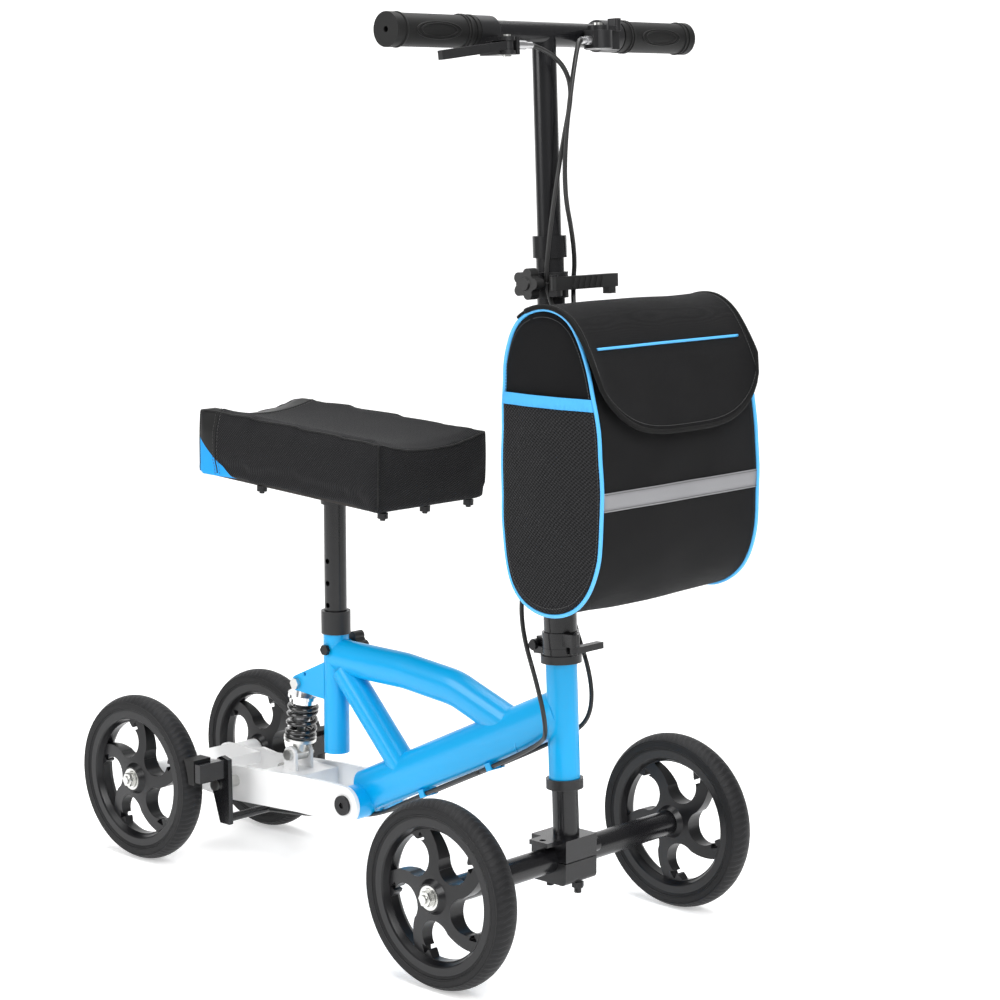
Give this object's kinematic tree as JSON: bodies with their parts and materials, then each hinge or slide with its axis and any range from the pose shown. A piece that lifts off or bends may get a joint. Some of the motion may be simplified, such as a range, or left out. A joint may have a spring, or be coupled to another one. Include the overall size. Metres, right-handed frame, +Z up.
{
  "type": "knee scooter",
  "caption": "Steerable knee scooter with padded knee rest, folding column with handlebar and brake lever, sprung rear arm, spoked wheels and a front bag.",
  "frame": {"origin": "on the floor, under the centre of the whole scooter's box", "axes": "+X forward, +Y to the rider's left, +Z up"},
  "size_m": [0.852, 0.46, 0.9936],
  "materials": {
    "blue_paint": "gloss sky-blue powder coat",
    "white_paint": "gloss white powder coat",
    "black_paint": "satin black powder coat",
    "black_metal": "semi-gloss black anodised and painted fittings",
    "spring_paint": "gloss black painted spring wire",
    "black_steel": "black oxide screw",
    "steel": "bright zinc-plated steel",
    "chrome": "polished preload ring",
    "alloy": "bare turned alloy",
    "knob_plastic": "moulded black plastic",
    "rim_plastic": "satin black glass-filled nylon",
    "tyre": "solid black polyurethane tyre",
    "rubber": "soft black rubber",
    "cable_skin": "black PVC cable housing",
    "pad_cover": "woven black cover over foam",
    "plywood": "plywood board",
    "bag_cloth": "black ripstop bag cloth with pale blue piping",
    "webbing": "black webbing"
  },
  "bodies": {
    "frame": {"main_frame": "blue_paint", "head_cups": "black_metal", "head_bearings": "steel", "seat_collar": "black_metal", "seat_stop_bolt": "steel", "pivot_bushes": "steel", "swingarm_pivot_bolt": "black_steel", "shock_top_bolt": "steel", "right_brake_cable": "cable_skin", "left_brake_cable": "cable_skin"},
    "seat_knob": {"seat_lock_knob": "knob_plastic"},
    "seat": {"seat_post": "black_paint", "pad_bracket": "black_paint", "pad_board": "plywood", "knee_pad": "pad_cover", "pad_bolts": "steel"},
    "rear_arm": {"swingarm": "white_paint", "swingarm_bolts": "steel", "rear_axle_bolts": "steel"},
    "shock_upper": {"shock_body": "black_paint", "shock_preload_ring": "chrome", "shock_spring": "spring_paint"},
    "shock_lower": {"shock_rod": "black_paint"},
    "rear_brake": {"brake_yoke": "black_paint", "brake_pads": "rubber"},
    "front_axle": {"steerer": "black_paint", "axle_cap": "black_paint", "saddle_bolts": "steel", "front_axle_tube": "black_paint", "front_axle_bolts": "steel"},
    "column": {"column_tube": "black_paint", "column_collar": "black_metal", "clamp_band": "black_metal", "column_pins": "steel", "bag_straps": "webbing", "bag_body": "bag_cloth"},
    "latch": {"fold_lever": "black_metal"},
    "height_knob": {"height_lock_knob": "knob_plastic"},
    "clamp": {"clamp_lever": "knob_plastic"},
    "flap": {"bag_flap": "bag_cloth"},
    "handlebar": {"t_bar": "black_paint", "grips": "rubber", "lever_perches": "black_metal", "lever_pins": "steel", "cable_adjusters": "alloy"},
    "brake_lever": {"right_brake_lever": "black_metal"},
    "parking_lever": {"left_parking_lever": "knob_plastic"},
    "front_right_wheel": {"front_right_tyre": "tyre", "front_right_rim": "rim_plastic", "front_right_bearings": "steel"},
    "front_left_wheel": {"front_left_tyre": "tyre", "front_left_rim": "rim_plastic", "front_left_bearings": "steel"},
    "rear_right_wheel": {"rear_right_tyre": "tyre", "rear_right_rim": "rim_plastic", "rear_right_bearings": "steel"},
    "rear_left_wheel": {"rear_left_tyre": "tyre", "rear_left_rim": "rim_plastic", "rear_left_bearings": "steel"}
  },
  "joints": [
    {"name": "seat_height", "type": "slide", "parent": "frame", "child": "seat", "axis": [0, 0, 1], "range_m": [-0.104, 0.026]},
    {"name": "seat_knob_turn", "type": "hinge", "parent": "frame", "child": "seat_knob", "pos_m": [-0.088, 0.0285, 0.278], "axis": [0, 1, 0], "range_deg": [0, 720]},
    {"name": "rear_arm_swing", "type": "hinge", "parent": "frame", "child": "rear_arm", "pos_m": [-0.035, 0, 0.107], "axis": [0, 1, 0], "range_deg": [0, 5], "stiffness_Nm_per_rad": 900, "springref_deg": -2.29},
    {"name": "shock_tilt", "type": "hinge", "parent": "frame", "child": "shock_upper", "pos_m": [-0.141, 0, 0.23], "axis": [0, 1, 0], "range_deg": [-3, 3]},
    {"name": "shock_stroke", "type": "slide", "parent": "shock_upper", "child": "shock_lower", "axis": [0.1554, 0, 0.9879], "range_m": [-0.001, 0.013], "deforming": ["shock_spring"]},
    {"name": "rear_right_wheel_spin", "type": "hinge", "parent": "rear_arm", "child": "rear_right_wheel", "pos_m": [-0.326, -0.1, 0.1], "axis": [0, 1, 0], "continuous": true},
    {"name": "rear_left_wheel_spin", "type": "hinge", "parent": "rear_arm", "child": "rear_left_wheel", "pos_m": [-0.326, 0.1, 0.1], "axis": [0, 1, 0], "continuous": true},
    {"name": "rear_brake_swing", "type": "hinge", "parent": "rear_arm", "child": "rear_brake", "pos_m": [-0.222, 0, 0.103], "axis": [0, -1, 0], "range_deg": [-0.2, 3.9]},
    {"name": "steering", "type": "hinge", "parent": "frame", "child": "front_axle", "pos_m": [0.26572, 0, 0.24987], "axis": [-0.0419, 0, 0.9991], "range_deg": [-45, 45], "deforming": ["right_brake_cable", "left_brake_cable"]},
    {"name": "front_right_wheel_spin", "type": "hinge", "parent": "front_axle", "child": "front_right_wheel", "pos_m": [0.268, -0.192, 0.1], "axis": [0, 1, 0], "continuous": true},
    {"name": "front_left_wheel_spin", "type": "hinge", "parent": "front_axle", "child": "front_left_wheel", "pos_m": [0.268, 0.192, 0.1], "axis": [0, 1, 0], "continuous": true},
    {"name": "column_fold", "type": "hinge", "parent": "front_axle", "child": "column", "pos_m": [0.23435, 0, 0.32963], "axis": [0, -1, 0], "range_deg": [0, 32]},
    {"name": "fold_latch", "type": "hinge", "parent": "column", "child": "latch", "pos_m": [0.28837, -0.008, 0.33039], "axis": [-0.0419, 0, 0.9991], "range_deg": [-100, 0]},
    {"name": "handlebar_height", "type": "slide", "parent": "column", "child": "handlebar", "axis": [-0.0419, 0, 0.9991], "range_m": [-0.18, 0.02]},
    {"name": "height_knob_turn", "type": "hinge", "parent": "column", "child": "height_knob", "pos_m": [0.24608, -0.036, 0.71846], "axis": [0, -1, 0], "range_deg": [0, 720]},
    {"name": "clamp_lever_swing", "type": "hinge", "parent": "column", "child": "clamp", "pos_m": [0.2704, -0.022, 0.71847], "axis": [-0.0419, 0, 0.9991], "range_deg": [-100, 0]},
    {"name": "bag_flap_lift", "type": "hinge", "parent": "column", "child": "flap", "pos_m": [0.301, 0, 0.692], "axis": [0, -1, 0], "range_deg": [0, 75]},
    {"name": "brake_lever_pull", "type": "hinge", "parent": "handlebar", "child": "brake_lever", "pos_m": [0.26892, -0.093, 0.96163], "axis": [0.0419, 0, -0.9991], "range_deg": [0, 14], "stiffness_Nm_per_rad": 0.6, "springref_deg": -8.59},
    {"name": "parking_lever_push", "type": "hinge", "parent": "handlebar", "child": "parking_lever", "pos_m": [0.26102, 0.056, 0.98281], "axis": [-0.0419, 0, 0.9991], "range_deg": [-60, 0]}
  ],
  "couplings": [
    {"joint": "shock_tilt", "follows": "rear_arm_swing", "ratio": -0.25601},
    {"joint": "shock_stroke", "follows": "rear_arm_swing", "m_per_rad": 0.12279},
    {"joint": "rear_brake_swing", "follows": "brake_lever_pull", "ratio": 0.25}
  ]
}
